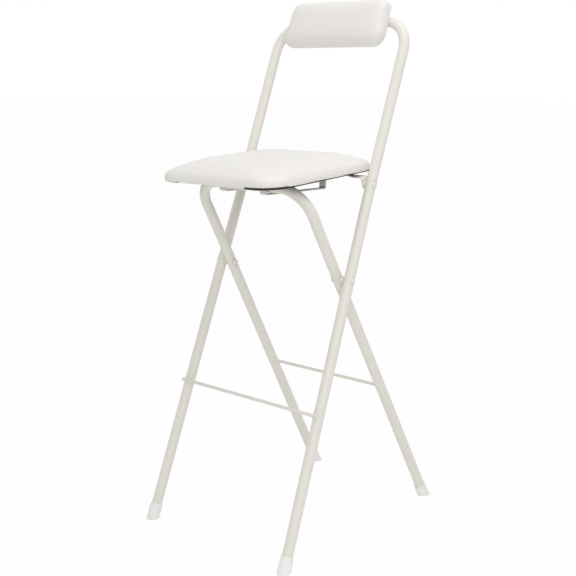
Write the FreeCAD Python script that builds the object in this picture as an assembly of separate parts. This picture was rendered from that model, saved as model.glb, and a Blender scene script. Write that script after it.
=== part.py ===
"""Folding bar stool: two crossed U frames of steel tube, a tilting padded seat and a padded backrest.

The front frame carries the backrest, the rear frame is riveted inside it, and the seat hangs on the
front frame by two ears.  The rear frame's top bar slides in two tapered straps under the seat.
Millimetres, floor at Z = 0, front of the stool towards -Y, symmetric in X.
"""
import FreeCAD, Part
import math
import os

V = FreeCAD.Vector

# Steel tube and rod
TUBE_R = 9.55
TUBE_WALL = 1.2
ROD_R = 3.0
ROD_SEAT = 0.5
ROD_EDGE = 0.5

# Front frame: lean from the vertical, feet, half width on the tube axis, splay of a foot, heights
FRONT_LEAN = 20.59
FRONT_FOOT_Y = -222.5
FRONT_HALF = 156.7
FRONT_SPLAY = 13.25
FRONT_KNEE_Z = 620.0
FRONT_TOP_Z = 931.8
FRONT_BEND_R = 56.0

# Rear frame, nested inside the front one: distance between the two tube axes, splay of a foot
REAR_LEAN = 29.01
REAR_FOOT_Y = 221.6
NEST = 25.0
REAR_SPLAY = 12.4
REAR_KNEE_Z = 560.0
REAR_BEND_R = 55.0
KNEE_BEND_R = 260.0

# Foot caps
CAP_LENGTH = 28.0
CAP_R_FLOOR = 12.0
CAP_R_RIM = 11.2
CAP_SOLE = 9.0
CAP_RIM_BEVEL = 0.6

# Rivets, spacers and washers; flats pressed into the tube walls
RIVET_R = 3.5
RIVET_HEAD_R = 6.5
RIVET_HEAD_H = 3.4
RIVET_TAIL_R = 5.2
RIVET_TAIL_H = 2.2
WASHER_R = 6.6
WASHER_T = 1.5
PRESS_DEPTH = 1.6
PRESS_R = 8.6
HINGE_WASHER_T = 2.95
RUNNING = 0.05
SIDE_PLAY = 0.2

# Cross rods
FOOTREST_Z = 255.0
FOOTREST_OVERHANG = 7.9
STRETCHER_Z = 256.0
STRETCHER_ENTRY = 4.0

# Seat: its underside rises to the rear; depth and heights run along and square to that underside
SEAT_HINGE_Z = 642.0
SEAT_OVER_HINGE = 20.24
SEAT_BEHIND_HINGE = 37.63
SEAT_RISE = 3.83
SEAT_DEPTH = 280.0
SEAT_SIDE_GAP = 21.75
SEAT_TAPER = 9.35
SEAT_CORNER_FRONT = 43.0
SEAT_CORNER_REAR = 14.0
CROWN_ROUNDING = 0.15
PANEL_T = 3.5
PANEL_LIP_T = 1.2
PANEL_FRONT_INSET = 12.0
PANEL_SIDE_INSET = 1.5
PANEL_LIP_INSET = 0.7
PANEL_CORNER = 63.0
BOARD_T = 9.0
BOARD_INSET = 3.0

# Height over the underside and draw-in from the widest outline, from the welted edge to the crown
SEAT_CROWN = ((0.0, 1.6), (9.0, 0.0), (16.2, 1.5), (19.8, 5.0), (23.0, 11.0), (27.4, 21.0))
SEAT_CROWN += ((32.0, 36.0), (36.0, 56.0), (38.0, 85.0))

# Slide straps and hinge bracket under the seat
STRAP_X = 50.0
STRAP_W = 15.0
SHEET_T = 2.0
SHEET_BEND = 2.5
STRAP_DROP = 13.0
STRAP_REAR_LEAD = 7.8
STRAP_TAB = 20.0
STOP_GAP = 0.3
EAR_R = 9.0
EAR_FRONT_LEAD = 11.5
EAR_FLARE_LEAD = 33.6
EAR_FLARE_RUN = 12.0
BRACKET_W = 15.3
BRACKET_LIP = 3.0
BRACKET_STEP = 4.6
BRACKET_STEP_LEAD = 36.6
BRACKET_STEP_RUN = 9.0
BRACKET_SCREW_LEAD = 57.6
PACKER_R = 7.0

# Places of the base panel's screws: in from the seat's sides, back from its front, ahead of its rear
PANEL_SCREW_EDGE = 9.0
PANEL_SCREW_FORE = 62.0
PANEL_SCREW_AFT = 118.0
PANEL_SCREW_FRONT_X = 70.0
PANEL_SCREW_FRONT_Y = 26.0

# Screws: shank radius, head radius, head height
WOOD_SCREW = (2.1, 4.2, 2.4)
PANEL_SCREW = (1.4, 2.9, 1.4)
BACK_SCREW = (2.45, 4.8, 2.8)
SCREW_POINT = 1.6
SCREW_SHORT = 1.5

# Backrest pad on the front of the top bar, held from behind; heights run up the frame's plane
PAD_FROM_BAR = -56.3
PAD_HEIGHT = 91.0
PAD_HALF_LOW = 122.5
PAD_HALF_HIGH = 119.5
PAD_CORNER = 21.0
PAD_CROWN_CORNER = 14.0
PAD_FLAT_DEPTH = 0.5
PAD_FLAT_R = 8.0
PAD_SCREW_X = 60.0
PAD_COVER_T = 1.0
PAD_COVER_INSET = 2.6
PAD_BOARD_T = 7.0
PAD_BOARD_INSET = 3.4
PAD_CROWN = ((0.0, 1.8), (4.0, 0.5), (9.5, 0.0), (15.0, 1.6), (20.0, 6.2), (23.6, 14.0), (25.2, 25.0))
TEE_FLANGE = (8.0, 1.2)
TEE_BARREL = (3.5, 5.5)


def side_lean(angle):
    return math.sin(math.radians(angle)), math.cos(math.radians(angle))


FRONT_SIN, FRONT_COS = side_lean(FRONT_LEAN)
REAR_SIN, REAR_COS = side_lean(REAR_LEAN)
FRONT_FOOT_HALF = FRONT_HALF + FRONT_SPLAY
REAR_HALF = FRONT_HALF - NEST
REAR_FOOT_HALF = REAR_HALF + REAR_SPLAY
REAR_TOP_Z = SEAT_HINGE_Z
STRAP_BOTTOM_Z = SEAT_HINGE_Z - STRAP_DROP
FACE = TUBE_R - PRESS_DEPTH
EAR_FACE_X = FRONT_HALF - FACE - HINGE_WASHER_T - SIDE_PLAY
SEAT_HALF_REAR = FRONT_HALF - SEAT_SIDE_GAP
SEAT_HALF_FRONT = SEAT_HALF_REAR + SEAT_TAPER


def on_front(x, run, ahead=0.0):
    """Point on the front frame's plane: run up the slope, ahead towards the sitter's side."""
    return V(x, FRONT_FOOT_Y + run * FRONT_SIN - ahead * FRONT_COS, run * FRONT_COS + ahead * FRONT_SIN)


def on_rear(x, run):
    """Point on the rear frame's plane: run up the slope."""
    return V(x, REAR_FOOT_Y - run * REAR_SIN, run * REAR_COS)


def half_width(run, knee, top, foot):
    """Half width of a splayed frame on its tube axis."""
    return top + (foot - top) * max(0.0, 1.0 - run / knee)


FRONT_KNEE = FRONT_KNEE_Z / FRONT_COS
FRONT_TOP = FRONT_TOP_Z / FRONT_COS
REAR_KNEE = REAR_KNEE_Z / REAR_COS
REAR_TOP = REAR_TOP_Z / REAR_COS
PIVOT_Z = (REAR_FOOT_Y - FRONT_FOOT_Y) / (FRONT_SIN / FRONT_COS + REAR_SIN / REAR_COS)
HINGE = on_front(0.0, SEAT_HINGE_Z / FRONT_COS)
PIVOT = on_front(0.0, PIVOT_Z / FRONT_COS)
BAR = on_rear(0.0, REAR_TOP)
SEAT_TURN = FreeCAD.Rotation(V(1, 0, 0), SEAT_RISE)
SEAT_FRONT = HINGE + SEAT_TURN.multVec(V(0, SEAT_BEHIND_HINGE - SEAT_DEPTH, SEAT_OVER_HINGE))


def bend_points(before, corner, after, radius):
    """Start, centre and end of the arc that rounds a corner."""
    back = (before - corner).normalize()
    onward = (after - corner).normalize()
    half = back.getAngle(onward) / 2.0
    middle = (back + onward).normalize()
    reach = radius / math.tan(half)
    return corner + back * reach, corner + middle * (radius / math.sin(half)), corner + onward * reach


def bend_arc(first, centre, last, corner):
    radius = (first - centre).Length
    return Part.Arc(first, centre + (corner - centre).normalize() * radius, last).toShape()


def rounded_path(points, radii):
    """Open wire through the points, its inner corners rounded with tangent arcs."""
    edges = []
    start = points[0]
    for before, corner, after, radius in zip(points, points[1:], points[2:], radii):
        first, centre, last = bend_points(before, corner, after, radius)
        edges.append(Part.LineSegment(start, first).toShape())
        edges.append(bend_arc(first, centre, last, corner))
        start = last
    edges.append(Part.LineSegment(start, points[-1]).toShape())
    return Part.Wire(edges)


def rounded_loop(points, radii):
    """Closed wire round the points with every corner rounded."""
    after = points[1:] + points[:1]
    before = points[-1:] + points[:-1]
    bends = [bend_points(*row) for row in zip(before, points, after, radii)]
    edges = []
    for corner, bend, onward in zip(points, bends, bends[1:] + bends[:1]):
        edges.append(bend_arc(*bend, corner))
        edges.append(Part.LineSegment(bend[2], onward[0]).toShape())
    return Part.Wire(edges)


def cylinder(radius, start, end):
    return Part.makeCylinder(radius, (end - start).Length, start, end - start)


def rod_between(radius, start, end, edge):
    """Round bar with its two end edges broken."""
    bar = cylinder(radius, start, end)
    ends = [e for e in bar.Edges if isinstance(e.Curve, Part.Circle)]
    return bar.makeChamfer(edge, ends)


def turned(outline, base, way):
    """Solid of revolution about a line; the outline gives radius and distance along it.

    A third number in an outline point is the bulge of the rounded side that leads up to the point.
    """
    edges = []
    points = [V(radius, 0, along) for radius, along, *rest in outline]
    for start, end, row in zip(points, points[1:], outline[1:]):
        if len(row) > 2:
            chord = end - start
            middle = start + chord * 0.5 + V(chord.z, 0, -chord.x).normalize() * row[2]
            edges.append(Part.Arc(start, middle, end).toShape())
        else:
            edges.append(Part.LineSegment(start, end).toShape())
    edges.append(Part.LineSegment(points[-1], points[0]).toShape())
    solid = Part.Face(Part.Wire(edges)).revolve(V(0, 0, 0), V(0, 0, 1), 360)
    solid.Placement = FreeCAD.Placement(base, FreeCAD.Rotation(V(0, 0, 1), way))
    return solid


def bulge(radius, height):
    """Rise of a domed head's arc over its chord."""
    chord = math.hypot(radius, height)
    ball = chord * chord / (2.0 * height)
    return ball - math.sqrt(ball * ball - chord * chord / 4.0)


def rivet(start, end, head_r, head_h, tail_r, tail_h):
    """Rivet whose formed tail sits at the start point and whose domed head sits at the end point."""
    length = (end - start).Length
    outline = [(0.0, -tail_h), (tail_r, 0.0, bulge(tail_r, tail_h)), (RIVET_R, 0.0), (RIVET_R, length)]
    outline += [(head_r, length), (0.0, length + head_h, bulge(head_r, head_h))]
    return turned(outline, start, (end - start).normalize())


def screw(seat, tip, size):
    """Screw with a flat round head on the seat point and a pointed shank to the tip."""
    shank_r, head_r, head_h = size
    length = (tip - seat).Length
    point = length - shank_r * SCREW_POINT
    outline = [(0.0, -head_h), (head_r, -head_h), (head_r, 0.0), (shank_r, 0.0), (shank_r, point), (0.0, length)]
    return turned(outline, seat, (tip - seat).normalize())


def ring(radius, bore, start, end):
    return cylinder(radius, start, end).cut(cylinder(bore, start, end))


def both_sides(make):
    """The same part on the left and on the right, as separate solids."""
    return Part.Compound([make(1.0), make(-1.0)])


def leg_start(foot, knee):
    """Lower end of a leg's tube, above the sole of its cap, and the direction up the leg."""
    way = (knee - foot).normalize()
    return foot + way * CAP_SOLE, way


def u_line(point_on, knee, top, half, foot_half):
    """Corners of a U frame's axis from the end of one leg over the top bar to the end of the other."""
    start = leg_start(point_on(foot_half, 0.0), point_on(half, knee))[0]
    corners = [start, point_on(half, knee), point_on(half, top)]
    return corners + [V(-p.x, p.y, p.z) for p in reversed(corners)]


def round_bar(points, radii, radius):
    """Round bar along straight runs joined by tangent bends."""
    start = points[0]
    bar = None
    for before, corner, after, bend_r in zip(points, points[1:], points[2:], radii):
        first, centre, last = bend_points(before, corner, after, bend_r)
        run = cylinder(radius, start, first)
        bar = run if bar is None else bar.fuse(run)
        axis = (first - centre).cross(last - centre)
        angle = math.degrees((first - centre).getAngle(last - centre))
        disc = Part.Face(Part.Wire(Part.makeCircle(radius, first, corner - first)))
        bar = bar.fuse(disc.revolve(centre, axis, angle))
        start = last
    return bar.fuse(cylinder(radius, start, points[-1])).removeSplitter()


def pressed_tube(points, radii, flats):
    """Bent tube with round flats pressed in, the wall keeping its thickness behind them."""
    outer = round_bar(points, radii, TUBE_R)
    inner = round_bar(points, radii, TUBE_R - TUBE_WALL)
    for centre, way, depth, radius in flats:
        face = centre + way * (TUBE_R - depth)
        outer = outer.cut(cylinder(radius, face, face + way * TUBE_R))
        inner = inner.cut(cylinder(radius + TUBE_WALL, face - way * TUBE_WALL, face + way * TUBE_R))
    return outer.cut(inner)


def across(x, point):
    return V(x, point.y, point.z)


FRONT_AT_PIVOT = half_width(PIVOT_Z / FRONT_COS, FRONT_KNEE, FRONT_HALF, FRONT_FOOT_HALF)
REAR_AT_PIVOT = half_width(PIVOT_Z / REAR_COS, REAR_KNEE, REAR_HALF, REAR_FOOT_HALF)


def footrest_rod():
    """Footrest rod on the front faces of the front legs, let into the tube walls by ROD_SEAT."""
    ahead = TUBE_R + ROD_R - ROD_SEAT
    run = (FOOTREST_Z - ahead * FRONT_SIN) / FRONT_COS
    reach = half_width(run, FRONT_KNEE, FRONT_HALF, FRONT_FOOT_HALF) + FOOTREST_OVERHANG
    return rod_between(ROD_R, on_front(-reach, run, ahead), on_front(reach, run, ahead), ROD_EDGE)


def stretcher_ends():
    run = STRETCHER_Z / REAR_COS
    inner = half_width(run, REAR_KNEE, REAR_HALF, REAR_FOOT_HALF) - TUBE_R + STRETCHER_ENTRY
    return on_rear(-inner, run), on_rear(inner, run)


def rear_stretcher():
    start, end = stretcher_ends()
    return rod_between(ROD_R, start, end, ROD_EDGE)


def pad_back():
    """Distance from the front frame's plane to the back of the backrest."""
    return TUBE_R + RUNNING


def front_frame():
    line = u_line(on_front, FRONT_KNEE, FRONT_TOP, FRONT_HALF, FRONT_FOOT_HALF)
    ahead = (on_front(0, 0, 1.0) - on_front(0, 0)).normalize()
    flats = []
    for side in (1.0, -1.0):
        for point, half in ((PIVOT, FRONT_AT_PIVOT), (HINGE, FRONT_HALF)):
            centre = across(side * half, point)
            flats.append((centre, V(side, 0, 0), PRESS_DEPTH, PRESS_R))
            flats.append((centre, V(-side, 0, 0), PRESS_DEPTH, PRESS_R))
        bar = on_front(side * PAD_SCREW_X, FRONT_TOP)
        flats.append((bar, ahead * -1.0, PAD_FLAT_DEPTH, PAD_FLAT_R))
    frame = pressed_tube(line, [KNEE_BEND_R, FRONT_BEND_R, FRONT_BEND_R, KNEE_BEND_R], flats)
    reach = FRONT_FOOT_HALF + TUBE_R
    for point in (PIVOT, HINGE):
        frame = frame.cut(cylinder(RIVET_R + RUNNING, across(-reach, point), across(reach, point)))
    for side in (1.0, -1.0):
        x = side * PAD_SCREW_X
        near, far = on_front(x, FRONT_TOP, -TUBE_R), on_front(x, FRONT_TOP, TUBE_R)
        frame = frame.cut(cylinder(BACK_SCREW[0] + RUNNING, near, far))
    return frame.cut(footrest_rod())


def rear_frame():
    line = u_line(on_rear, REAR_KNEE, REAR_TOP, REAR_HALF, REAR_FOOT_HALF)
    flats = []
    for side in (1.0, -1.0):
        centre = across(side * REAR_AT_PIVOT, PIVOT)
        flats.append((centre, V(side, 0, 0), PRESS_DEPTH, PRESS_R))
        flats.append((centre, V(-side, 0, 0), PRESS_DEPTH, PRESS_R))
    frame = pressed_tube(line, [KNEE_BEND_R, REAR_BEND_R, REAR_BEND_R, KNEE_BEND_R], flats)
    reach = across(REAR_FOOT_HALF + TUBE_R, PIVOT)
    frame = frame.cut(cylinder(RIVET_R + RUNNING, across(-reach.x, PIVOT), reach))
    start, end = stretcher_ends()
    return frame.cut(cylinder(ROD_R + RUNNING, start, end))


def foot_cap(foot, knee):
    """Flared cap over a leg's end, its rim bevelled, cut flat by the floor."""
    start, way = leg_start(foot, knee)
    flare = CAP_R_FLOOR + (CAP_R_FLOOR - CAP_R_RIM)
    side = [(0.0, -CAP_LENGTH), (flare, -CAP_LENGTH), (CAP_R_RIM, CAP_LENGTH - CAP_RIM_BEVEL)]
    side += [(CAP_R_RIM - CAP_RIM_BEVEL, CAP_LENGTH), (0.0, CAP_LENGTH)]
    outer = turned(side, foot, way)
    room = 4.0 * CAP_LENGTH
    above = Part.makeBox(2.0 * room, 2.0 * room, room, V(foot.x - room, foot.y - room, 0.0))
    return outer.common(above).cut(cylinder(TUBE_R + RUNNING, start, start + way * CAP_LENGTH))


def foot_caps(point_on, foot_half, half, knee):
    """The two caps of one frame."""
    return both_sides(lambda side: foot_cap(point_on(side * foot_half, 0.0), point_on(side * half, knee)))


def pivot_rivets():
    def one(side):
        tail = across(side * (REAR_AT_PIVOT - FACE - SIDE_PLAY - WASHER_T), PIVOT)
        head = across(side * (FRONT_AT_PIVOT + FACE), PIVOT)
        return rivet(tail, head, RIVET_HEAD_R, RIVET_HEAD_H, RIVET_TAIL_R, RIVET_TAIL_H)
    return both_sides(one)


def pivot_spacers():
    def one(side):
        start = across(side * (REAR_AT_PIVOT + FACE + SIDE_PLAY), PIVOT)
        end = across(side * (FRONT_AT_PIVOT - FACE), PIVOT)
        return ring(WASHER_R, RIVET_R + RUNNING, start, end)
    return both_sides(one)


def pivot_washers():
    def one(side):
        end = across(side * (REAR_AT_PIVOT - FACE - SIDE_PLAY), PIVOT)
        start = across(side * (REAR_AT_PIVOT - FACE - SIDE_PLAY - WASHER_T), PIVOT)
        return ring(WASHER_R, RIVET_R + RUNNING, start, end)
    return both_sides(one)


def hinge_rivets():
    def one(side):
        tail = across(side * (EAR_FACE_X - SHEET_T - SIDE_PLAY), HINGE)
        head = across(side * (FRONT_HALF + FACE), HINGE)
        return rivet(tail, head, RIVET_HEAD_R, RIVET_HEAD_H, RIVET_TAIL_R, RIVET_TAIL_H)
    return both_sides(one)


def hinge_washers():
    def one(side):
        start = across(side * (EAR_FACE_X + SIDE_PLAY), HINGE)
        end = across(side * (FRONT_HALF - FACE), HINGE)
        return ring(WASHER_R, RIVET_R + RUNNING, start, end)
    return both_sides(one)


def place_seat(shape):
    """From the seat's own axes, Y along the underside and Z square to it, into the stool's."""
    shape.rotate(V(0, 0, 0), V(1, 0, 0), SEAT_RISE)
    shape.translate(SEAT_FRONT)
    return shape


def in_seat(point):
    """A point of the stool in the seat's own axes."""
    return SEAT_TURN.inverted().multVec(point - SEAT_FRONT)


def underside(y, below=0.0):
    """Point of the stool on the seat's underside at Y = y, or square below it."""
    rise_sin, rise_cos = side_lean(SEAT_RISE)
    run = (y - SEAT_FRONT.y) / rise_cos
    return V(0, y + below * rise_sin, SEAT_FRONT.z + run * rise_sin - below * rise_cos)


def seat_outline(height, inset):
    """Rounded outline of the seat at a height, drawn in by the inset, rounder towards the crown."""
    front = SEAT_HALF_FRONT - inset
    rear = SEAT_HALF_REAR - inset
    deep = SEAT_DEPTH - inset
    corners = [V(-front, inset, height), V(front, inset, height), V(rear, deep, height), V(-rear, deep, height)]
    round_front = SEAT_CORNER_FRONT + CROWN_ROUNDING * inset
    round_rear = SEAT_CORNER_REAR + CROWN_ROUNDING * inset
    return rounded_loop(corners, [round_front, round_front, round_rear, round_rear])


def seat_slab(bottom, top, inset):
    """Flat sheet in the seat's outline."""
    return Part.Face(seat_outline(bottom, inset)).extrude(V(0, 0, top - bottom))


def panel_room():
    """Space of the base panel: thin along the sides, full at the front corners, short of the front edge."""
    wide = SEAT_HALF_FRONT
    side = SEAT_HALF_FRONT - PANEL_CORNER
    rear = SEAT_DEPTH - PANEL_FRONT_INSET
    middle = Part.makeBox(2 * wide, rear - PANEL_FRONT_INSET, PANEL_T, V(-wide, PANEL_FRONT_INSET, 0))
    room = seat_slab(0, PANEL_T, PANEL_SIDE_INSET).common(middle)
    lip = Part.makeBox(2 * wide, rear - SEAT_CORNER_FRONT, PANEL_LIP_T, V(-wide, SEAT_CORNER_FRONT, 0))
    room = room.fuse(lip)
    for x in (side, -wide):
        corner = Part.makeBox(wide - side, SEAT_CORNER_FRONT, PANEL_T, V(x, 0, 0))
        room = room.fuse(corner)
    return room.removeSplitter()


def screw_set(places, seat_height, tip_height, size):
    """Screws driven upwards into the seat."""
    return Part.Compound([screw(V(x, y, seat_height), V(x, y, tip_height), size) for x, y in places])


def screw_holes(places, size, low, high):
    return [cylinder(size[0] + RUNNING, V(x, y, low), V(x, y, high)) for x, y in places]


def strap_screw_y():
    """Middle of the straps' front feet, in the seat's axes."""
    return in_seat(V(0, BAR.y - TUBE_R - STOP_GAP - SHEET_T - (STRAP_TAB + SHEET_T) / 2.0, SEAT_HINGE_Z)).y


def bracket_front_y():
    """Front edge of the hinge bracket, clear of the straps' rear bends, in the seat's axes."""
    return in_seat(V(0, HINGE.y - STRAP_REAR_LEAD + SHEET_T + SHEET_BEND + STOP_GAP, SEAT_HINGE_Z)).y


BRACKET_Y = bracket_front_y() + BRACKET_W / 2.0
STRAP_SCREWS = [(x, strap_screw_y()) for x in (STRAP_X, -STRAP_X)]
BRACKET_SCREW_X = EAR_FACE_X - BRACKET_SCREW_LEAD
BRACKET_SCREWS = [(x, BRACKET_Y) for x in (BRACKET_SCREW_X, STRAP_X, -STRAP_X, -BRACKET_SCREW_X)]
PANEL_SCREW_X = SEAT_HALF_REAR - PANEL_SCREW_EDGE
PANEL_SCREWS = [(PANEL_SCREW_X, PANEL_SCREW_FORE), (PANEL_SCREW_X, SEAT_DEPTH - PANEL_SCREW_AFT)]
PANEL_SCREWS += [(PANEL_SCREW_FRONT_X, PANEL_SCREW_FRONT_Y)]
PANEL_SCREWS += [(-x, y) for x, y in PANEL_SCREWS]
BRACKET_BASE = 2.0 * SHEET_T


def all_screw_holes():
    high = PANEL_T + BOARD_T
    holes = screw_holes(STRAP_SCREWS, WOOD_SCREW, -2.0 * BRACKET_BASE, high)
    holes += screw_holes(BRACKET_SCREWS, WOOD_SCREW, -2.0 * BRACKET_BASE, high)
    holes += screw_holes(PANEL_SCREWS, PANEL_SCREW, -PANEL_T, high)
    return holes


def seat_base_panel():
    panel = panel_room().common(seat_slab(0, PANEL_T, PANEL_LIP_INSET))
    for hole in all_screw_holes():
        panel = panel.cut(hole)
    return place_seat(panel)


def seat_board():
    board = seat_slab(PANEL_T, PANEL_T + BOARD_T, BOARD_INSET)
    for hole in all_screw_holes():
        board = board.cut(hole)
    return place_seat(board)


def crowned(sections, outline):
    """Padded form lofted through the outline at each height."""
    return Part.makeLoft([outline(height, inset) for height, inset in sections], True, True)


def seat_cushion():
    form = crowned(SEAT_CROWN, seat_outline)
    form = form.cut(seat_slab(PANEL_T, PANEL_T + BOARD_T, BOARD_INSET))
    return place_seat(form.cut(panel_room()))


def seat_screws(places, seat_height, size, length):
    return place_seat(screw_set(places, seat_height, seat_height + length, size))


def bent_strip(points, width):
    """Sheet strip bent along a side view's centre line and centred on X = 0."""
    path = rounded_path(points, [SHEET_BEND + SHEET_T / 2.0] * (len(points) - 2))
    way = (points[1] - points[0]).normalize()
    out = way.cross(V(1, 0, 0)) * (SHEET_T / 2.0)
    half = V(width / 2.0, 0, 0)
    start = points[0]
    corners = [start + out + half, start - out + half, start - out - half, start + out - half, start + out + half]
    return path.makePipeShell([Part.makePolygon(corners)], True, False)


def slide_strap(x):
    """Tapered slot for the rear frame's bar, its front leg being the stop of the open stool."""
    mid = SHEET_T / 2.0
    front = BAR.y - TUBE_R - STOP_GAP - mid
    rear = HINGE.y - STRAP_REAR_LEAD + mid
    points = [underside(front - STRAP_TAB, mid), underside(front, mid), V(0, front, STRAP_BOTTOM_Z)]
    points += [V(0, rear, STRAP_BOTTOM_Z), underside(rear, mid), underside(rear + STRAP_TAB - 1.0, mid)]
    strap = bent_strip(points, STRAP_W)
    for place in (strap_screw_y(), BRACKET_Y):
        low = V(0, place, -2.0 * SHEET_T)
        hole = place_seat(cylinder(WOOD_SCREW[0] + RUNNING, low, V(0, place, 2.0 * SHEET_T)))
        strap = strap.cut(hole)
    strap.translate(V(x, 0, 0))
    return strap


def tangent_point(point, centre, radius, side):
    """Where the line from a point touches a circle in the side view."""
    away = point - centre
    base = math.atan2(away.z, away.y)
    turn = math.acos(radius / away.Length) * side
    return centre + V(0, math.cos(base + turn), math.sin(base + turn)) * radius


def hinge_bracket():
    """Pressed strip across the seat with a rear lip, stepped down at each end to an ear bent down."""
    mid = SHEET_T / 2.0
    top = -BRACKET_BASE + mid
    low = top - BRACKET_STEP
    step_x = EAR_FACE_X - BRACKET_STEP_LEAD
    flat_x = step_x - BRACKET_STEP_RUN
    pin = in_seat(HINGE)
    ear_x = EAR_FACE_X - mid
    tip = pin.z - EAR_R
    rear = bracket_front_y() + BRACKET_W
    front = pin.y - EAR_FRONT_LEAD
    points = [V(ear_x, 0, tip), V(ear_x, 0, low), V(step_x, 0, low), V(flat_x, 0, top)]
    points += [V(-p.x, 0, p.z) for p in reversed(points)]
    path = rounded_path(points, [SHEET_BEND + mid] * (len(points) - 2))
    deep = rear - front
    section = [V(ear_x + mid, 0, tip), V(ear_x - mid, 0, tip), V(ear_x - mid, deep, tip), V(ear_x + mid, deep, tip)]
    strip = path.makePipeShell([Part.makePolygon(section + section[:1])], True, False)
    strip.translate(V(0, front, 0))

    bend = SHEET_BEND + SHEET_T
    flare = EAR_FACE_X - EAR_FLARE_LEAD
    plan = [V(EAR_FACE_X, front, 0), V(flare + EAR_FLARE_RUN, front, 0), V(flare, bracket_front_y(), 0)]
    plan += [V(-p.x, p.y, 0) for p in reversed(plan)] + [V(-EAR_FACE_X, rear, 0), V(EAR_FACE_X, rear, 0)]
    shoulder = V(0, 0, -BRACKET_BASE + SHEET_T - BRACKET_STEP - bend)
    plate = Part.Face(Part.makePolygon(plan + plan[:1])).extrude(V(0, 0, bend + BRACKET_STEP))
    plate.translate(shoulder)

    fore = V(0, front, 0) + shoulder
    aft = V(0, rear, 0) + shoulder
    low_fore = tangent_point(fore, pin, EAR_R, 1.0)
    low_aft = tangent_point(aft, pin, EAR_R, -1.0)
    edges = [Part.LineSegment(aft, fore).toShape(), Part.LineSegment(fore, low_fore).toShape()]
    edges.append(Part.Arc(low_fore, pin - V(0, 0, EAR_R), low_aft).toShape())
    edges.append(Part.LineSegment(low_aft, aft).toShape())
    ears = Part.Face(Part.Wire(edges)).extrude(V(2.0 * EAR_FACE_X, 0, 0))
    ears.translate(V(-EAR_FACE_X, 0, 0))
    bracket = strip.common(plate.fuse(ears))

    lip_x = flat_x - SHEET_BEND
    lip_corner = V(-lip_x, rear - SHEET_T, -BRACKET_BASE - BRACKET_LIP)
    lip = Part.makeBox(2.0 * lip_x, SHEET_T, SHEET_T + BRACKET_LIP, lip_corner)
    bracket = bracket.fuse(lip).removeSplitter()
    reach = 2.0 * EAR_FACE_X
    bracket = bracket.cut(cylinder(RIVET_R + RUNNING, across(-reach, pin), across(reach, pin)))
    for hole in screw_holes(BRACKET_SCREWS, WOOD_SCREW, -2.0 * BRACKET_BASE, 0.0):
        bracket = bracket.cut(hole)
    return place_seat(bracket)


def bracket_packers():
    def one(side):
        low = V(side * BRACKET_SCREW_X, BRACKET_Y, -SHEET_T)
        return ring(PACKER_R, WOOD_SCREW[0] + RUNNING, low, low + V(0, 0, SHEET_T))
    return place_seat(both_sides(one))


def pad_outline(height, inset):
    """Rounded outline of the backrest pad, X across and Y up the frame's plane."""
    low = PAD_HALF_LOW - inset
    high = PAD_HALF_HIGH - inset
    bottom = FRONT_TOP + PAD_FROM_BAR + inset
    top = FRONT_TOP + PAD_FROM_BAR + PAD_HEIGHT - inset
    level = pad_back() + PAD_COVER_T + height
    corners = [V(-low, bottom, level), V(low, bottom, level), V(high, top, level), V(-high, top, level)]
    radius = max(PAD_CORNER - inset, PAD_CROWN_CORNER)
    return rounded_loop(corners, [radius] * 4)


def pad_slab(bottom, top, inset):
    return Part.Face(pad_outline(bottom, inset)).extrude(V(0, 0, top - bottom))


def place_pad(shape):
    """From the backrest's own axes, Y up the slope and Z ahead of the frame, into the stool's."""
    shape.rotate(V(0, 0, 0), V(1, 0, 0), 90.0 - FRONT_LEAN)
    shape.translate(V(0, FRONT_FOOT_Y, 0))
    return shape


def pad_screw_line(side, near, far):
    return V(side * PAD_SCREW_X, FRONT_TOP, near), V(side * PAD_SCREW_X, FRONT_TOP, far)


def backrest_back_cover():
    cover = pad_slab(-PAD_COVER_T, 0.0, PAD_COVER_INSET)
    for side in (1.0, -1.0):
        cover = cover.cut(cylinder(BACK_SCREW[0] + RUNNING, *pad_screw_line(side, 0.0, 2.0 * TUBE_R)))
    return place_pad(cover)


def backrest_board():
    board = pad_slab(0.0, PAD_BOARD_T, PAD_BOARD_INSET)
    for side in (1.0, -1.0):
        board = board.cut(cylinder(TEE_BARREL[0] + RUNNING, *pad_screw_line(side, 0.0, 4.0 * TUBE_R)))
    return place_pad(board)


def tee_nut_level():
    return pad_back() + PAD_COVER_T + PAD_BOARD_T


def backrest_cushion():
    form = crowned(PAD_CROWN, pad_outline)
    form = form.cut(pad_slab(0.0, PAD_BOARD_T, PAD_BOARD_INSET))
    level = tee_nut_level()
    for side in (1.0, -1.0):
        line = pad_screw_line(side, level, level + 3.0 * TEE_FLANGE[1])
        form = form.cut(cylinder(TEE_FLANGE[0] + STOP_GAP, *line))
    return place_pad(form)


def backrest_tee_nuts():
    level = tee_nut_level()
    bore = BACK_SCREW[0] + RUNNING

    def one(side):
        flange = ring(TEE_FLANGE[0], bore, *pad_screw_line(side, level, level + TEE_FLANGE[1]))
        barrel = ring(TEE_BARREL[0], bore, *pad_screw_line(side, level - TEE_BARREL[1], level))
        return flange.fuse(barrel).removeSplitter()
    return place_pad(both_sides(one))


def backrest_screws():
    def one(side):
        seat, tip = pad_screw_line(side, PAD_FLAT_DEPTH - TUBE_R, tee_nut_level() + 2.0 * TEE_FLANGE[1])
        return screw(seat, tip, BACK_SCREW)
    return place_pad(both_sides(one))


def export(name, shape):
    shape.exportStep("parts/" + name + ".step")


WOOD_LENGTH = PANEL_T + BOARD_T - SCREW_SHORT

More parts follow.
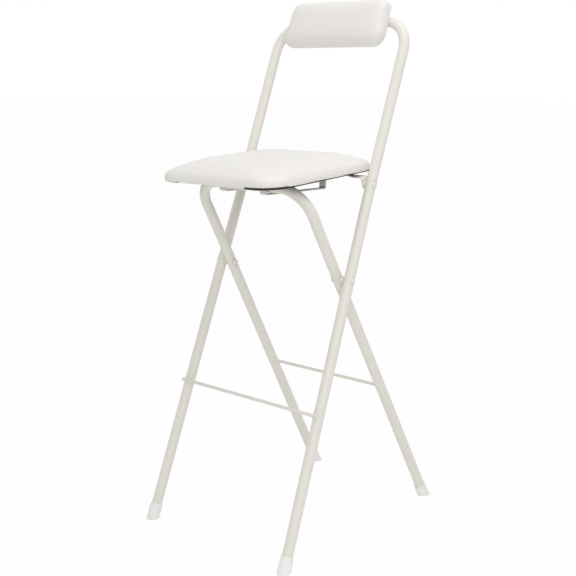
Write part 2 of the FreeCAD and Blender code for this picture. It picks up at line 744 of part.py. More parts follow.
export("front_frame", front_frame())
export("rear_frame", rear_frame())
export("footrest_rod", footrest_rod())
export("rear_stretcher", rear_stretcher())
export("front_foot_caps", foot_caps(on_front, FRONT_FOOT_HALF, FRONT_HALF, FRONT_KNEE))
export("rear_foot_caps", foot_caps(on_rear, REAR_FOOT_HALF, REAR_HALF, REAR_KNEE))
export("pivot_rivets", pivot_rivets())
export("pivot_spacers", pivot_spacers())
export("pivot_washers", pivot_washers())
export("hinge_rivets", hinge_rivets())
export("hinge_washers", hinge_washers())
export("hinge_bracket", hinge_bracket())
export("bracket_packers", bracket_packers())
export("bracket_screws", seat_screws(BRACKET_SCREWS, -BRACKET_BASE, WOOD_SCREW, BRACKET_BASE + WOOD_LENGTH))
export("slide_strap_left", slide_strap(STRAP_X))
export("slide_strap_right", slide_strap(-STRAP_X))
export("strap_screws", seat_screws(STRAP_SCREWS, -SHEET_T, WOOD_SCREW, SHEET_T + WOOD_LENGTH))
export("seat_base_panel", seat_base_panel())
export("panel_screws", seat_screws(PANEL_SCREWS, 0.0, PANEL_SCREW, WOOD_LENGTH))
export("seat_board", seat_board())
export("seat_cushion", seat_cushion())
export("backrest_back_cover", backrest_back_cover())
export("backrest_board", backrest_board())
export("backrest_cushion", backrest_cushion())
export("backrest_tee_nuts", backrest_tee_nuts())
export("backrest_screws", backrest_screws())
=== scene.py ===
"""Folding bar stool: the finish of the steel frame and its hardware, the two vinyl cushions and the stage.

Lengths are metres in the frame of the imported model: floor at Z = 0, front of the stool towards -Y.
"""
import math

import bmesh
import bpy
from mathutils import Matrix, Vector
from mathutils.bvhtree import BVHTree


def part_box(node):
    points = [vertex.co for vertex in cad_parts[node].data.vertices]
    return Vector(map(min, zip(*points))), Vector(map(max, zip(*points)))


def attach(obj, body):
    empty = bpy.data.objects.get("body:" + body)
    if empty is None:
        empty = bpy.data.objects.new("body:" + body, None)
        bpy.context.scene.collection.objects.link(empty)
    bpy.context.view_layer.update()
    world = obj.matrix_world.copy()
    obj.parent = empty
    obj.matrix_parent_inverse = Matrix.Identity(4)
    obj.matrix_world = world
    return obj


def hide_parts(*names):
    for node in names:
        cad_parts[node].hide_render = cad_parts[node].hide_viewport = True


bl_info = {
    "name": "Folding bar stool",
    "version": (1, 0, 0),
    "blender": (4, 5, 0),
    "location": "View3D > Sidebar > Bar stool",
    "description": "Dresses a folding bar stool: painted tube frame, vinyl cushions, hardware and studio",
    "category": "Object",
}

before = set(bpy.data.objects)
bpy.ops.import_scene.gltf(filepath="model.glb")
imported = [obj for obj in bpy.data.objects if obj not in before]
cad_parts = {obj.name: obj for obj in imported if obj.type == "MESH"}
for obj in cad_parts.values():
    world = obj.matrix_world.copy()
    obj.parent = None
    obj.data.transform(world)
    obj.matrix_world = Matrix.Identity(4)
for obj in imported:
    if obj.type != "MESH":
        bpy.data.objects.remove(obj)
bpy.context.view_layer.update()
MM = 0.001

# Room between a cushion and what is let into it
CLEARANCE = 0.2 * MM

# Seat: its underside rises to the rear; own axes are Y along the underside and Z square to it
SEAT_RISE = math.radians(3.83)
SEAT_FRONT = Vector((0.0, -224.5, 646.0)) * MM
SEAT_DEPTH = 280 * MM
SEAT_HALF_FRONT = 144.3 * MM
SEAT_HALF_REAR = 135 * MM
# Radii of its front and rear corners, and how much of the crown's draw-in each of them gains
SEAT_CORNERS = (43 * MM, 14 * MM)
CROWN_ROUNDING = (0.25, 0.6)
# Black panel under it, with a thin lip along the sides: it stops short of the front and rear edges, apart
# from its front corners
PANEL_T = 3.5 * MM
PANEL_LIP_T = 1.2 * MM
PANEL_INSET = 1.5 * MM
PANEL_LIP_INSET = 0.7 * MM
PANEL_SHORT = 12 * MM
PANEL_CORNER = 63 * MM
# Plywood between the panel and the foam
BOARD_T = 9 * MM
BOARD_INSET = 3 * MM

# Backrest: own axes are Y up the front frame's plane, measured from the floor, and Z ahead of it
FRONT_LEAN = math.radians(20.59)
FRONT_FOOT_Y = -222.5 * MM
FRONT_TOP_RUN = 995.4 * MM
PAD_LOW_RUN = FRONT_TOP_RUN - 56.3 * MM
PAD_HEIGHT = 91 * MM
PAD_HALF_LOW = 122.5 * MM
PAD_HALF_HIGH = 119.5 * MM
# Radii of its corners, from the sitter's lower right round by the lower left
PAD_CORNERS = (15 * MM, 24 * MM, 15 * MM, 21 * MM)
PAD_CORNER_LEAST = 12 * MM
# Height of its back over the frame's plane, then its board and the vinyl that closes the back
PAD_BASE = 10.6 * MM
PAD_BOARD_T = 7 * MM
PAD_BOARD_INSET = 1.7 * MM
PAD_COVER_T = 1 * MM
PAD_COVER_INSET = 0.8 * MM

# Tubes, rods and straps; legs: half the width between them at the floor and at a height, then that height
TUBE_R = 9.55 * MM
ROD_R = 3 * MM
FRONT_LEG = (169.95 * MM, 156.7 * MM, 620 * MM)
REAR_LEG = (144.1 * MM, 131.7 * MM, 560 * MM)
STRAP_X = 50 * MM
STRAP_W = 15 * MM
# Heights over which the bands that the straps rub on the rear frame's top bar fade in
RUBBED_FROM = (612 * MM, 620 * MM)

# Weld beads: radius of a drop, how far behind the footrest rod's axis and how far above or below it a bead
# lies, radius of the ring round the stretcher and its number of drops
WELD_DROP = 1.5 * MM
WELD_BEHIND = 1.6 * MM
WELD_OFF = 3.3 * MM
WELD_RING = ROD_R + 0.4 * MM
WELD_RING_DROPS = 14

# Screws: radius of the thread, radius and height of the head, pitch of the thread
WOOD_SCREW = (2.1 * MM, 4.2 * MM, 2.4 * MM, 1.7 * MM)
PANEL_SCREW = (1.4 * MM, 2.9 * MM, 1.4 * MM, 1.2 * MM)
BACK_SCREW = (2.45 * MM, 4.8 * MM, 2.8 * MM, 0.8 * MM)
# Share of the thread's radius that is its core, and how far each screw is turned on from the last
THREAD_CORE = 0.74
SCREW_TURN = 0.7

# Form of the cut foam: height over the underside and draw-in from the widest outline, in millimetres
SEAT_CROWN = (
    (-6, 1.6), (0, 1.6), (4, 0.4), (9, 0), (15.8, 1.5), (19.1, 5), (23, 11), (28, 21),
    (32.3, 36), (34, 56), (34, 85),
)
PAD_CROWN = (
    (-5, -0.4), (0, -0.4), (4, -0.3), (9.5, 0.1), (14.8, 1.3), (19, 4), (22, 9), (23.6, 15), (24.4, 25),
)
# Draw-in of the stuffed backrest from its cut size, at the sides low and high, the foot and the top, and its
# roll on the bar
PAD_DRAWN = (3.2 * MM, 5.4 * MM, 3.2 * MM, -1.1 * MM)
PAD_ROLL = math.radians(-0.45)
# Seat's front corner at the sitter's right, fuller at its foot and lower at its crown: direction and spread
# in degrees, how far the foot stands out and the crown sags, and the height from which it is all crown
PUFF = (-50.0, 17.0, 2.6 * MM, 0.9 * MM, 20 * MM)

# Lower edge of the seat's vinyl by direction from the seat's middle, 0 at the front and 90 at the sitter's
# left: height over the underside and rounding, in millimetres
SEAT_HEM = (
    (-180, 1.2, 1.0), (-112, 1.2, 1.0), (-66, 1.2, 1.0), (-63, -1.0, 1.0), (-37.5, -1.0, 1.0),
    (-35.5, 0.6, 0.8), (-34.5, 2.3, 0.8), (-32.8, 2.2, 0.8), (-31.5, 0.9, 1.2), (-27, 0.1, 3.5),
    (24, 0.1, 3.5), (30, 1.2, 1.5), (37, 3.4, 0.7), (46, 3.7, 0.5), (55, 3.0, 0.5), (61, 2.0, 0.5),
    (68, 1.6, 0.5), (90, 1.5, 0.5), (108, 1.4, 0.5), (122, 1.3, 0.6), (180, 1.2, 1.0),
)

# Soft creases of the covers in their own axes, in millimetres: start, end and depth, on the seat after the
# side on which they lie
SEAT_CREASES = (
    (1, (136, 272, 3), (139, 196, 9), 0.55), (1, (136, 266, 8), (140, 214, 14), 0.5),
    (1, (135, 276, 12), (132, 236, 20), 0.45), (1, (141, 168, 2), (143, 128, 6), 0.35),
    (-1, (136, 270, 4), (138, 206, 9), 0.5), (-1, (135, 274, 11), (134, 240, 18), 0.45),
)
PAD_CREASE = ((-116, 12, 20), (116, 12, 20), 0.9)

# Frames over which the covers are swelled
CLOTH_FRAMES = 20


# Colours and sizes that a user may change

def linear(code):
    """Linear colour of an sRGB hex value."""
    parts = [int(code[i:i + 2], 16) / 255 for i in (1, 3, 5)]
    return [c / 12.92 if c <= 0.04045 else ((c + 0.055) / 1.055) ** 2.4 for c in parts]


class StoolFinish(bpy.types.PropertyGroup):
    """Colours of the finishes."""

    paint: bpy.props.FloatVectorProperty(
        name="Frame paint", description="Powder coat of the tubes, rods, straps and bracket",
        subtype="COLOR", size=3, min=0, max=1, default=linear("#EDE9E0"))
    vinyl: bpy.props.FloatVectorProperty(
        name="Vinyl", description="Leathercloth cover of the seat and the backrest",
        subtype="COLOR", size=3, min=0, max=1, default=linear("#F3F0EB"))
    caps: bpy.props.FloatVectorProperty(
        name="Foot caps", description="Milky plastic of the foot caps",
        subtype="COLOR", size=3, min=0, max=1, default=linear("#F8F7F4"))
    grain: bpy.props.FloatProperty(
        name="Vinyl grain", description="Size of one pebble of the embossed grain",
        unit="LENGTH", min=0.4 * MM, max=6 * MM, default=1.6 * MM)


class StoolPadding(bpy.types.PropertyGroup):
    """Sizes of the padding and its seams."""

    voxel: bpy.props.FloatProperty(
        name="Cover mesh", description="Spacing of the cover's points before it is swelled",
        unit="LENGTH", min=2 * MM, max=8 * MM, default=4.5 * MM)
    swell: bpy.props.FloatProperty(
        name="Swell", description="How far the foam may push the cover out",
        unit="LENGTH", min=0, max=12 * MM, default=3 * MM)
    room: bpy.props.FloatProperty(
        name="Room", description="How far the finished cover may stand off the cut foam",
        unit="LENGTH", min=0.2 * MM, max=8 * MM, default=1 * MM)
    side_bow: bpy.props.FloatProperty(
        name="Side draw-in", description="How far the sides pull in between the corners",
        unit="LENGTH", min=-4 * MM, max=6 * MM, default=0.6 * MM)


# Materials

def add_node(tree, kind, inputs=(), **settings):
    """Adds a node, applies its settings, and sets its inputs or links them to other nodes' sockets."""
    item = tree.nodes.new(kind)
    for name, value in settings.items():
        setattr(item, name, value)
    for key, value in dict(inputs).items():
        if isinstance(value, bpy.types.NodeSocket):
            tree.links.new(value, item.inputs[key])
        else:
            item.inputs[key].default_value = value
    return item


def start_material(name, constants):
    """Material with one Principled shader whose constants sit on its own sockets."""
    material = bpy.data.materials.new(name)
    material.use_nodes = True
    tree = material.node_tree
    body = tree.nodes["Principled BSDF"]
    for key, value in constants.items():
        body.inputs[key].default_value = value
    where = add_node(tree, "ShaderNodeTexCoord").outputs["Object"]
    return material, tree, body, where


def per(size):
    """Texture scale that makes one feature as large as a real size."""
    return 1.0 / size


def tinted(colour, factor):
    """Colour made lighter or darker, with full alpha."""
    return [min(1.0, c * factor) for c in colour] + [1.0]


def opaque(code):
    """Linear colour of an sRGB hex value, with full alpha."""
    return linear(code) + [1.0]


def mottle(tree, where, size, dark, light):
    """Slow drift between two near tones."""
    cloud = add_node(tree, "ShaderNodeTexNoise", {"Vector": where, "Scale": per(size), "Detail": 3.0})
    tone = add_node(tree, "ShaderNodeMix", {0: cloud.outputs[0], 6: dark, 7: light}, data_type="RGBA")
    return tone.outputs[2]


def uneven_skin(tree, where, size, detail, strength, depth, edge=0.0):
    """Normal of a skin with bumps of a real size and depth; an edge radius breaks its sharp edges."""
    swells = add_node(tree, "ShaderNodeTexNoise", {"Vector": where, "Scale": per(size), "Detail": detail})
    skin = add_node(tree, "ShaderNodeBump", {
        "Height": swells.outputs[0], "Strength": strength, "Distance": depth})
    if edge:
        broken = add_node(tree, "ShaderNodeBevel", {"Radius": edge}, samples=4)
        tree.links.new(broken.outputs[0], skin.inputs["Normal"])
    return skin.outputs[0]


def rubbed_bands(tree, where):
    """One where the rear frame's top bar slides in the two straps, zero elsewhere."""
    axes = add_node(tree, "ShaderNodeSeparateXYZ", {0: where})
    aside = add_node(tree, "ShaderNodeMath", {0: axes.outputs[0]}, operation="ABSOLUTE")
    from_strap = add_node(tree, "ShaderNodeMath", {0: aside.outputs[0], 1: STRAP_X}, operation="SUBTRACT")
    off = add_node(tree, "ShaderNodeMath", {0: from_strap.outputs[0]}, operation="ABSOLUTE")
    band = add_node(tree, "ShaderNodeMapRange", {
        0: off.outputs[0], 1: STRAP_W / 2, 2: STRAP_W / 2 + 2 * MM, 3: 1.0, 4: 0.0})
    high = add_node(tree, "ShaderNodeMapRange", {0: axes.outputs[2], 1: RUBBED_FROM[0], 2: RUBBED_FROM[1]})
    rubbed = add_node(tree, "ShaderNodeMath", {0: band.outputs[0], 1: high.outputs[0]}, operation="MULTIPLY")
    return rubbed.outputs[0]


def powder_coat(name, colour, rubbed=False, edge=0.0):
    """Polyester powder sprayed on steel and baked: an even semi-gloss skin with a faint orange peel."""
    material, tree, body, where = start_material(name, {"IOR": 1.5, "Roughness": 0.38})
    coat = mottle(tree, where, 60 * MM, tinted(colour, 0.975), tinted(colour, 1.015))
    if rubbed:
        # Sliding has burnished the powder and left a greyer, shinier track
        scuff = add_node(tree, "ShaderNodeTexNoise", {"Vector": where, "Scale": per(3 * MM), "Detail": 4.0})
        worn = add_node(tree, "ShaderNodeMath", {0: rubbed_bands(tree, where), 1: scuff.outputs[0]},
                        operation="MULTIPLY")
        track = add_node(tree, "ShaderNodeMix", {0: worn.outputs[0], 6: coat, 7: tinted(colour, 0.62)},
                         data_type="RGBA")
        coat = track.outputs[2]
        shine = add_node(tree, "ShaderNodeMapRange", {0: worn.outputs[0], 3: 0.38, 4: 0.2})
        tree.links.new(shine.outputs[0], body.inputs["Roughness"])
    tree.links.new(coat, body.inputs["Base Color"])
    # The peel of baked powder is about 1.5 mm from bump to bump
    peel = uneven_skin(tree, where, 1.5 * MM, 1.5, 0.35, 0.05 * MM, edge)
    tree.links.new(peel, body.inputs["Normal"])
    return material


def leathercloth(name, colour, grain):
    """Embossed PVC on a knit backing: pebbled grain with a soft sheen, and painted shade that darkens the
    valleys of the grain.
    """
    material, tree, body, where = start_material(
        name, {"IOR": 1.53, "Roughness": 0.5, "Sheen Weight": 0.05, "Sheen Roughness": 0.4})
    # Embossed pebbles are about 1 mm on such vinyl, drawn coarser so that they show
    warp = add_node(tree, "ShaderNodeTexNoise", {"Vector": where, "Scale": per(6 * grain), "Detail": 1.0})
    drift = add_node(tree, "ShaderNodeVectorMath", {0: warp.outputs["Color"], 3: 1.2 * grain},
                     operation="SCALE")
    bent = add_node(tree, "ShaderNodeVectorMath", {0: where, 1: drift.outputs[0]}, operation="ADD")
    cells = add_node(tree, "ShaderNodeTexVoronoi", {"Vector": bent.outputs[0], "Scale": per(grain)},
                     feature="DISTANCE_TO_EDGE")
    valley = add_node(tree, "ShaderNodeMapRange", {
        0: cells.outputs["Distance"], 1: 0.0, 2: 0.35, 3: 0.0, 4: 1.0}, interpolation_type="SMOOTHSTEP")
    tone = mottle(tree, where, 45 * MM, tinted(colour, 0.985), tinted(colour, 1.01))
    # Painted shade: the valleys between the pebbles are coloured a little darker
    deep = add_node(tree, "ShaderNodeMix", {0: valley.outputs[0], 6: tinted(colour, 0.955), 7: tone},
                    data_type="RGBA")
    tree.links.new(deep.outputs[2], body.inputs["Base Color"])
    # Foam under the vinyl lets it lie a little uneven
    sag = uneven_skin(tree, where, 14 * MM, 2.0, 0.35, 0.5 * MM)
    pebble = add_node(tree, "ShaderNodeBump", {
        "Height": valley.outputs[0], "Strength": 0.5, "Distance": 0.08 * MM, "Normal": sag})
    tree.links.new(pebble.outputs[0], body.inputs["Normal"])
    return material


def milky_polyethylene(colour):
    """Moulded low-density polyethylene: waxy, a little light passes through it and softens its shading."""
    material, tree, body, where = start_material("milky_polyethylene", {
        "IOR": 1.51, "Roughness": 0.42, "Subsurface Weight": 0.12, "Subsurface Scale": 1 * MM,
        "Subsurface Radius": (1.0, 1.0, 1.0)})
    tone = mottle(tree, where, 9 * MM, tinted(colour, 0.98), tinted(colour, 1.02))
    tree.links.new(tone, body.inputs["Base Color"])
    flow = uneven_skin(tree, where, 3 * MM, 2.0, 0.3, 0.08 * MM, edge=0.8 * MM)
    tree.links.new(flow, body.inputs["Normal"])
    return material


def moulded_nylon():
    """Natural nylon 6, moulded: creamy, satin, faintly clouded."""
    material, tree, body, where = start_material("moulded_nylon", {"IOR": 1.53, "Roughness": 0.4})
    cream = linear("#E8E3D3")
    tone = mottle(tree, where, 4 * MM, tinted(cream, 0.95), tinted(cream, 1.03))
    tree.links.new(tone, body.inputs["Base Color"])
    return material


def zinc_plate():
    """Bright zinc electroplate on steel: cool grey metal with drifting straw and blue passivation."""
    material, tree, body, where = start_material("zinc_plated_steel", {"Metallic": 1.0, "Roughness": 0.3})
    tone = mottle(tree, where, 5 * MM, opaque("#B9BDC2"), opaque("#C9C4B4"))
    tree.links.new(tone, body.inputs["Base Color"])
    grit = add_node(tree, "ShaderNodeTexNoise", {"Vector": where, "Scale": per(0.5 * MM), "Detail": 3.0})
    rough = add_node(tree, "ShaderNodeMapRange", {0: grit.outputs[0], 3: 0.24, 4: 0.42})
    tree.links.new(rough.outputs[0], body.inputs["Roughness"])
    return material


def black_hardboard():
    """Tempered hardboard with a black face: pressed fibres, dull, with fine pale flecks."""
    material, tree, body, where = start_material("black_hardboard", {"IOR": 1.45, "Roughness": 0.62})
    fibre = add_node(tree, "ShaderNodeTexNoise", {"Vector": where, "Scale": per(1.2 * MM), "Detail": 6.0})
    fleck = add_node(tree, "ShaderNodeMapRange", {0: fibre.outputs[0], 1: 0.45, 2: 0.75})
    tone = add_node(tree, "ShaderNodeMix", {
        0: fleck.outputs[0], 6: opaque("#1E1C1A"), 7: opaque("#3A3531")}, data_type="RGBA")
    tree.links.new(tone.outputs[2], body.inputs["Base Color"])
    press = add_node(tree, "ShaderNodeBump", {
        "Height": fibre.outputs[0], "Strength": 0.5, "Distance": 0.1 * MM})
    tree.links.new(press.outputs[0], body.inputs["Normal"])
    return material


def plywood():
    """Poplar plywood, rotary cut: pale veneer with long grain and dark glue lines between the plies."""
    material, tree, body, where = start_material("poplar_plywood", {"IOR": 1.45, "Roughness": 0.65})
    # Grain runs from the sitter's left to the right, eight times longer than wide
    stretch = (per(40 * MM), per(5 * MM), per(5 * MM))
    lay = add_node(tree, "ShaderNodeMapping", {"Vector": where, "Scale": stretch})
    grain = add_node(tree, "ShaderNodeTexNoise", {"Vector": lay.outputs[0], "Scale": 1.0, "Detail": 5.0})
    veneer = add_node(tree, "ShaderNodeMix", {
        0: grain.outputs[0], 6: opaque("#B99B72"), 7: opaque("#E3CDA6")}, data_type="RGBA")
    # Plies are 1.8 mm thick
    plies = add_node(tree, "ShaderNodeTexWave", {"Vector": where, "Scale": per(1.8 * MM) / 20.0},
                     bands_direction="Z", wave_profile="SAW")
    glue = add_node(tree, "ShaderNodeMapRange", {0: plies.outputs["Fac"], 1: 0.0, 2: 0.12, 3: 0.55, 4: 1.0})
    cut = add_node(tree, "ShaderNodeMix", {0: 1.0, 6: veneer.outputs[2], 7: glue.outputs[0]},
                   data_type="RGBA", blend_type="MULTIPLY")
    tree.links.new(cut.outputs[2], body.inputs["Base Color"])
    return material


# Outlines and crowns of the cushions

def seat_axes():
    """From the seat's own axes into the stool's."""
    return Matrix.Translation(SEAT_FRONT) @ Matrix.Rotation(SEAT_RISE, 4, "X")


def pad_axes():
    """From the backrest's own axes, Y up the slope and Z ahead of the frame, into the stool's."""
    return Matrix.Translation((0, FRONT_FOOT_Y, 0)) @ Matrix.Rotation(math.pi / 2 - FRONT_LEAN, 4, "X")


def rounded_ring(corners, radii, height, bow, arc_steps=9, side_steps=12):
    """Points round four corners in order, each corner an arc, each side drawn in by the bow at its middle."""
    arcs = []
    for i, corner in enumerate(corners):
        back = (corners[i - 1] - corner).normalized()
        onward = (corners[(i + 1) % len(corners)] - corner).normalized()
        half = back.angle(onward) / 2
        centre = corner + (back + onward).normalized() * (radii[i] / math.sin(half))
        arm = corner + back * (radii[i] / math.tan(half)) - centre
        sweep = math.pi - 2 * half
        turns = [Matrix.Rotation(sweep * k / arc_steps, 3, "Z") for k in range(arc_steps + 1)]
        arcs.append([centre + turn @ arm for turn in turns])
    ring = []
    for arc, after in zip(arcs, arcs[1:] + arcs[:1]):
        side = after[0] - arc[-1]
        inward = Vector((-side.y, side.x, 0)).normalized()
        ring += arc
        for k in range(1, side_steps):
            share = k / side_steps
            ring.append(arc[-1] + side * share + inward * bow * math.sin(math.pi * share))
    return [Vector((p.x, p.y, height)) for p in ring]


def seat_ring(height, inset, bow=0.0):
    """Outline of the seat at a height over its underside, drawn in by the inset."""
    front = SEAT_HALF_FRONT - inset
    rear = SEAT_HALF_REAR - inset
    deep = SEAT_DEPTH - inset
    corners = [Vector(p) for p in ((-front, inset, 0), (front, inset, 0), (rear, deep, 0), (-rear, deep, 0))]
    low, high = [max(size + share * inset, size) for size, share in zip(SEAT_CORNERS, CROWN_ROUNDING)]
    return rounded_ring(corners, (low, low, high, high), height, bow)


def seat_turn(point):
    """Direction of a point from the seat's middle, in degrees: 0 at the front, 90 at the sitter's left."""
    return math.degrees(math.atan2(point.x, SEAT_DEPTH / 2 - point.y))


def full_corner(ring):
    """The ring with one front corner fuller at its foot and lower at its crown than the rest."""
    middle, spread, most, sag, crown = PUFF
    centre = Vector((SEAT_CORNERS[0] - SEAT_HALF_FRONT, SEAT_CORNERS[0], 0))
    out = []
    for p in ring:
        turn = (seat_turn(p) - middle) / spread
        away = Vector((p.x, p.y, 0)) - centre
        height = min(1.0, max(0.0, p.z) / crown)
        here = math.exp(-turn * turn)
        out.append(p + away.normalized() * most * (1 - height) * here - Vector((0, 0, sag * height * here)))
    return out


def pad_ring(height, inset):
    """Outline of the backrest at a height over its back, drawn in by the inset."""
    aside_low, aside_high, foot, head = PAD_DRAWN
    low = PAD_HALF_LOW - inset - aside_low
    high = PAD_HALF_HIGH - inset - aside_high
    bottom = PAD_LOW_RUN + inset + foot
    top = PAD_LOW_RUN + PAD_HEIGHT - inset - head
    corners = [Vector(p) for p in ((-low, bottom, 0), (low, bottom, 0), (high, top, 0), (-high, top, 0))]
    radii = [max(size - inset, PAD_CORNER_LEAST) for size in PAD_CORNERS]
    return rounded_ring(corners, radii, PAD_BASE + height, 0.0)


def smooth_rows(rows, steps):
    """Rows of a crown with a smooth curve laid through them."""
    points = [Vector(row) for row in rows]
    points = [2 * points[0] - points[1]] + points + [2 * points[-1] - points[-2]]
    out = []
    for a, b, c, d in zip(points, points[1:], points[2:], points[3:]):
        for k in range(steps):
            t = k / steps
            curve = 2 * b + (c - a) * t
            curve += (2 * a - 5 * b + 4 * c - d) * t * t
            curve += (3 * b - a - 3 * c + d) * t ** 3
            out.append(curve / 2)
    return out + [points[-2]]


# Making and working meshes

def new_piece(name, points, faces, material):
    """Object made of points and faces, with its material."""
    mesh = bpy.data.meshes.new(name)
    mesh.from_pydata([tuple(p) for p in points], [], faces)
    mesh.materials.append(material)
    piece = bpy.data.objects.new(name, mesh)
    bpy.context.scene.collection.objects.link(piece)
    return piece


def skin_rings(rings):
    """Quads between rings of equally many points, closed with a face at each end."""
    count = len(rings[0])
    faces = [list(reversed(range(count)))]
    for level in range(len(rings) - 1):
        low = level * count
        for k in range(count):
            after = (k + 1) % count
            faces.append((low + k, low + after, low + count + after, low + count + k))
    faces.append([(len(rings) - 1) * count + k for k in range(count)])
    return [p for ring in rings for p in ring], faces


def apply_modifiers(piece):
    """Turns what the modifiers make into the piece's own mesh."""
    seen = piece.evaluated_get(bpy.context.evaluated_depsgraph_get())
    mesh = bpy.data.meshes.new_from_object(seen)
    piece.modifiers.clear()
    piece.data = mesh


def close_crown(rings, steps, rise):
    """Adds rings that shrink towards the middle of the last one, under a gentle dome."""
    last = rings[-1]
    middle = sum(last, Vector()) / len(last)
    for k in range(1, steps):
        share = k / steps
        lift = Vector((0, 0, rise * math.sin(math.pi / 2 * share)))
        rings.append([p.lerp(middle, share) + lift for p in last])


def swell_cover(piece, held_below, swell, pressure):
    """Swells the cover over its foam with a cloth simulation, held at its foot, by no more than the swell."""
    start = [v.co.copy() for v in piece.data.vertices]
    group = piece.vertex_groups.new(name="held")
    group.add([i for i, p in enumerate(start) if p.z < held_below], 1.0, "REPLACE")
    cloth = piece.modifiers.new("cover", "CLOTH")
    cloth.settings.use_pressure = True
    cloth.settings.uniform_pressure_force = pressure
    cloth.settings.effector_weights.gravity = 0.0
    cloth.settings.vertex_group_mass = group.name
    # Vinyl on a knit backing hardly stretches, and bends softly
    cloth.settings.tension_stiffness = 25.0
    cloth.settings.compression_stiffness = 25.0
    cloth.settings.shear_stiffness = 12.0
    cloth.settings.bending_stiffness = 1.5
    cloth.collision_settings.use_collision = False
    cloth.collision_settings.use_self_collision = False
    scene = bpy.context.scene
    for number in range(1, CLOTH_FRAMES + 1):
        scene.frame_set(number)
    apply_modifiers(piece)
    for vertex, home in zip(piece.data.vertices, start):
        move = vertex.co - home
        if move.length > swell:
            vertex.co = home + move * (swell / move.length)
    piece.vertex_groups.clear()
    scene.frame_set(1)


def relax(piece, rounds, share):
    """Evens the mesh by moving each point towards the middle of its neighbours."""
    form = bmesh.new()
    form.from_mesh(piece.data)
    for _ in range(rounds):
        aims = []
        for vertex in form.verts:
            near = [edge.other_vert(vertex).co for edge in vertex.link_edges]
            aims.append(sum(near, Vector()) / len(near))
        for vertex, aim in zip(form.verts, aims):
            vertex.co = vertex.co.lerp(aim, share)
    form.to_mesh(piece.data)
    form.free()


def keep_near(piece, form, room):
    """Brings each point back to within some room of the cut foam's surface."""
    foam = BVHTree.FromPolygons(*form)
    for vertex in piece.data.vertices:
        nearest = foam.find_nearest(vertex.co)[0]
        away = vertex.co - nearest
        if away.length > room:
            vertex.co = nearest + away * (room / away.length)


def padded_form(name, rings, material, padding, held_below, pressure):
    """Cushion form: even mesh over the rings, swelled by simulation and subdivided once."""
    foam = skin_rings(rings)
    piece = new_piece(name, *foam, material)
    even = piece.modifiers.new("even", "REMESH")
    even.mode = "VOXEL"
    even.voxel_size = padding.voxel
    apply_modifiers(piece)
    relax(piece, 2, 0.5)
    swell_cover(piece, held_below, padding.swell, pressure)
    keep_near(piece, foam, padding.room)
    relax(piece, 1, 0.4)
    finer = piece.modifiers.new("finer", "SUBSURF")
    finer.levels = 1
    finer.render_levels = 1
    apply_modifiers(piece)
    return piece


def press_crease(piece, start, end, width, depth):
    """Presses a soft crease into the cover along a line that fades out at its ends."""
    run = end - start
    normals = [v.normal.copy() for v in piece.data.vertices]
    for vertex, normal in zip(piece.data.vertices, normals):
        share = (vertex.co - start).dot(run) / run.length_squared
        if 0.0 < share < 1.0:
            beside = (vertex.co - start - run * share).length / width
            vertex.co -= normal * depth * math.sin(math.pi * share) * math.exp(-beside * beside)


def slab(outline, low, high):
    """Closed solid over an outline, between two heights."""
    return skin_rings([[Vector((p.x, p.y, z)) for p in outline] for z in (low, high)])


def clipped(outline, low, high):
    """Outline held between two corners, with points that fall together taken once."""
    held = [Vector((min(max(p.x, low[0]), high[0]), min(max(p.y, low[1]), high[1]), 0)) for p in outline]
    return [p for p, before in zip(held, held[-1:] + held[:-1]) if (p - before).length > 0.01 * MM]


def box_ring(half_x, half_y):
    """Corners of a rectangle round the Z axis."""
    return [Vector((x * half_x, y * half_y, 0)) for x, y in ((-1, -1), (1, -1), (1, 1), (-1, 1))]


def carve(piece, solids):
    """Cuts closed solids out of a piece."""
    for points, faces in solids:
        tool = new_piece("cutter", points, faces, piece.data.materials[0])
        cut = piece.modifiers.new("cut", "BOOLEAN")
        cut.operation = "DIFFERENCE"
        cut.solver = "EXACT"
        cut.object = tool
        apply_modifiers(piece)
        bpy.data.objects.remove(tool)


def shade(piece, angle=math.radians(35)):
    """Smooth shading with real corners kept sharp."""
    piece.data.shade_smooth()
    piece.data.set_sharp_from_angle(angle=angle)


# Seat and backrest

def hem_at(point):
    """Height and rounding of the vinyl's lower edge at a point of the seat's outline."""
    turn = seat_turn(point)
    for (angle, *low), (after, *high) in zip(SEAT_HEM, SEAT_HEM[1:]):
        if angle <= turn <= after:
            share = (turn - angle) / (after - angle)
            return [(a + (b - a) * share) * MM for a, b in zip(low, high)]


def under_hem(below):
    """Everything under the rounded lower edge of the seat's vinyl, down to some depth."""
    outside = 12 * MM
    clear = 1 * MM
    under = 6 * MM
    base = seat_ring(0, 0)
    inner = seat_ring(0, under - clear)
    rings = [seat_ring(-below, -outside)]
    for out, turn in ((outside, 90), (clear, 90), (clear, 60), (clear, 30), (clear, 0)):
        points = []
        for p, q, spot in zip(seat_ring(0, -out), inner, base):
            height, rounding = hem_at(spot)
            inward = (q - p).normalized() * rounding * (1 - math.sin(math.radians(turn)))
            rise = rounding * (1 - math.cos(math.radians(turn)))
            points.append(Vector((p.x + inward.x, p.y + inward.y, height + rise)))
        rings.append(points)
    rings.append([Vector((p.x, p.y, hem_at(spot)[0])) for p, spot in zip(seat_ring(0, under), base)])
    rings.append(seat_ring(0, under + clear))
    return skin_rings(rings)


